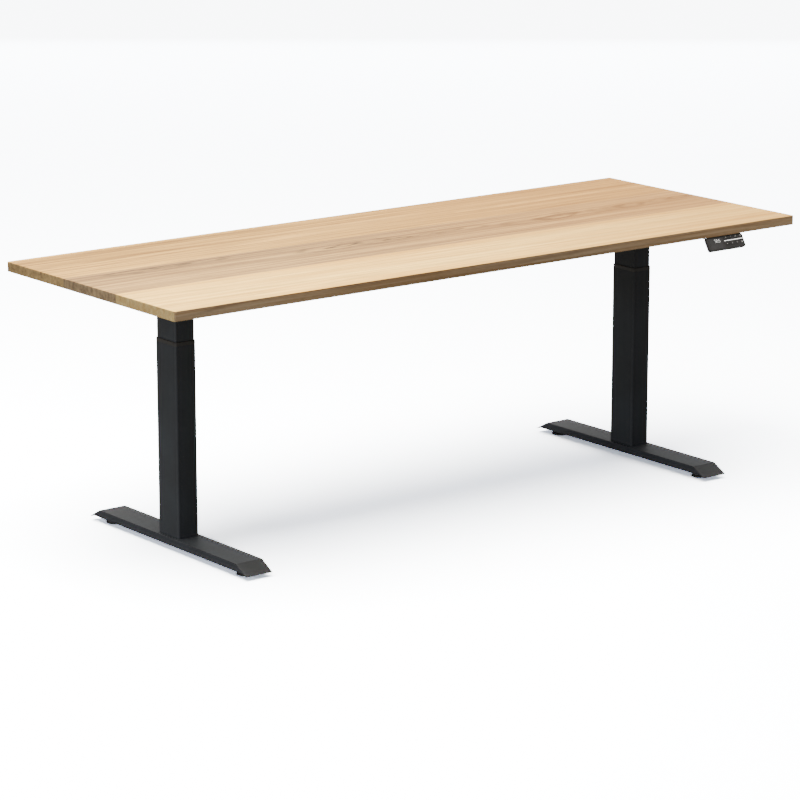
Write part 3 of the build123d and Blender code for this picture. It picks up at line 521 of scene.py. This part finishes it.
def digit(bm, name, centre, height, width):
    """A number drawn with straight bars, as on any dial."""
    h, w = height / 2, height * 0.27
    x, y = centre
    ends = {
        "a": ((-w, h), (w, h)), "b": ((w, h), (w, 0)), "c": ((w, 0), (w, -h)), "d": ((-w, -h), (w, -h)),
        "e": ((-w, 0), (-w, -h)), "f": ((-w, h), (-w, 0)), "g": ((-w, 0), (w, 0)),
    }
    for letter in SEGMENTS[name]:
        (x0, y0), (x1, y1) = ends[letter]
        bar(bm, (x + x0, y + y0), (x + x1, y + y1), width)


def draw_symbol(bm, name):
    """A key's symbol about the middle of the key, in millimetres."""
    if name in SEGMENTS:
        digit(bm, name, (0, 0), SYMBOL_HEIGHT, SYMBOL_STROKE)
    elif name.startswith("arrow"):
        up = 1 if name.endswith("up") else -1
        bar(bm, (-2.1, -1.0 * up), (0, 1.0 * up), 0.6)
        bar(bm, (2.1, -1.0 * up), (0, 1.0 * up), 0.6)
    elif name == "clock":
        ring(bm, (0, 0), 2.2, 0.6)
        bar(bm, (0, 0), (0, 1.3), 0.5)
        bar(bm, (0, 0), (1.0, 0), 0.5)
    elif name == "padlock":
        bar(bm, (-1.2, -0.9), (1.2, -0.9), 2.2)
        ring(bm, (0, 0.6), 1.3, 0.5)


def printed(name, draw, matrix, material, body):
    """Flat artwork lifted into a thin closed layer of ink."""
    bm = bmesh.new()
    draw(bm)
    bmesh.ops.recalc_face_normals(bm, faces=bm.faces)
    for face in bm.faces:
        if face.normal.z < 0:
            face.normal_flip()
    layer = bmesh.ops.extrude_face_region(bm, geom=bm.faces[:])
    lifted = [item for item in layer["geom"] if isinstance(item, bmesh.types.BMVert)]
    bmesh.ops.translate(bm, verts=lifted, vec=(0, 0, INK_LAYER))
    bmesh.ops.recalc_face_normals(bm, faces=bm.faces)
    bmesh.ops.transform(bm, matrix=matrix, verts=bm.verts)
    piece = place_piece(name, bm, material, body)


def centre_of(node):
    """The middle of a CAD node's box."""
    low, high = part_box(node)
    return (low + high) / 2


for key, symbol in KEYS.items():
    matrix = on_face(centre_of(key), KEY_LENGTH / 2)
    printed(f"symbol_{key}", lambda bm: draw_symbol(bm, symbol), matrix, PRINT_WITH_PAINTED_GLOW, key)


def draw_reading(bm):
    """The height reading, with a decimal point."""
    for name, x in (("seven", -7.5), ("two", 0.0), ("five", 8.6)):
        digit(bm, name, (x, 0), READING_HEIGHT, READING_STROKE)
    bar(bm, (4.0, -3.8), (4.6, -3.8), 0.6)


window_face = on_face(centre_of("display_window"), WINDOW_DEPTH / 2)
reading_place = window_face @ Matrix.Translation((4.5, 6.5, 0))
printed("display_reading", draw_reading, reading_place, DIGITS, "top")

# ---------------------------------------------------------------- floor, light and camera
floor_mesh = bmesh.new()
bmesh.ops.create_grid(floor_mesh, x_segments=1, y_segments=1, size=14)
floor_data = bpy.data.meshes.new("floor")
floor_mesh.to_mesh(floor_data)
floor_mesh.free()
floor = bpy.data.objects.new("floor", floor_data)
bpy.context.scene.collection.objects.link(floor)


def studio_floor():
    """White studio sweep. It is exposed higher for the eye than for the light that it throws back."""
    material = bpy.data.materials.new("white studio paper")
    material.use_nodes = True
    tree = material.node_tree
    shader = tree.nodes["Principled BSDF"]
    shader.inputs["Roughness"].default_value = 0.9
    shader.inputs["Specular IOR Level"].default_value = 0.1
    shader.inputs["Base Color"].default_value = linear("#6a6a6a")
    seen = add(tree, "BsdfDiffuse", {"Color": (4.1, 4.6, 5.5, 1.0)})
    ray = add(tree, "LightPath")
    shaders = {"i1": shader.outputs[0], "i2": seen.outputs[0]}
    mixed = add(tree, "MixShader", i0=ray.outputs["Is Camera Ray"], **shaders)
    tree.links.new(mixed.outputs[0], tree.nodes["Material Output"].inputs["Surface"])
    return material


floor_data.materials.append(studio_floor())

WARM = (1.0, 0.90, 0.74)  # the colour of the lights overhead


def soft_box(name, place, target, size, power, tint=(1, 1, 1)):
    """A rectangular studio light aimed at a point."""
    light = bpy.data.lights.new(name, "AREA")
    light.shape = "RECTANGLE"
    light.size, light.size_y = size
    light.energy = power
    light.color = tint
    lamp = bpy.data.objects.new(name, light)
    lamp.location = place
    aim = Vector(target) - Vector(place)
    lamp.rotation_euler = aim.to_track_quat("-Z", "Y").to_euler()
    bpy.context.scene.collection.objects.link(lamp)


soft_box("overhead", (-1.55, -0.05, 3.4), (-1.55, -0.05, 0), (3.2, 4.0), 370, WARM)
soft_box("left_fill", (-13.0, -1.6, 3.0), (0, 0, 0.4), (6.5, 4.9), 880)
soft_box("rear_card", (5.4, 6.9, 2.2), (0, 0, 0.1), (9.0, 4.0), 150)
sky = bpy.data.lights.new("sky", "SUN")
sky.energy = 5.0
sky.angle = math.radians(64)
sky.color = WARM
sky_lamp = bpy.data.objects.new("sky", sky)
bpy.context.scene.collection.objects.link(sky_lamp)

world = bpy.data.worlds.new("studio")
world.use_nodes = True
world.node_tree.nodes["Background"].inputs["Color"].default_value = (1, 1, 1, 1)
world.node_tree.nodes["Background"].inputs["Strength"].default_value = 0.45
bpy.context.scene.world = world

camera = bpy.data.cameras.new("camera")
camera.sensor_width = 36
camera.lens = 148.04
camera.clip_end = 100
viewpoint = bpy.data.objects.new("camera", camera)
viewpoint.location = (-5.1559, -6.6032, 2.3191)
viewpoint.rotation_euler = (1.3307, 0, -0.6579)
bpy.context.scene.collection.objects.link(viewpoint)
bpy.context.scene.camera = viewpoint
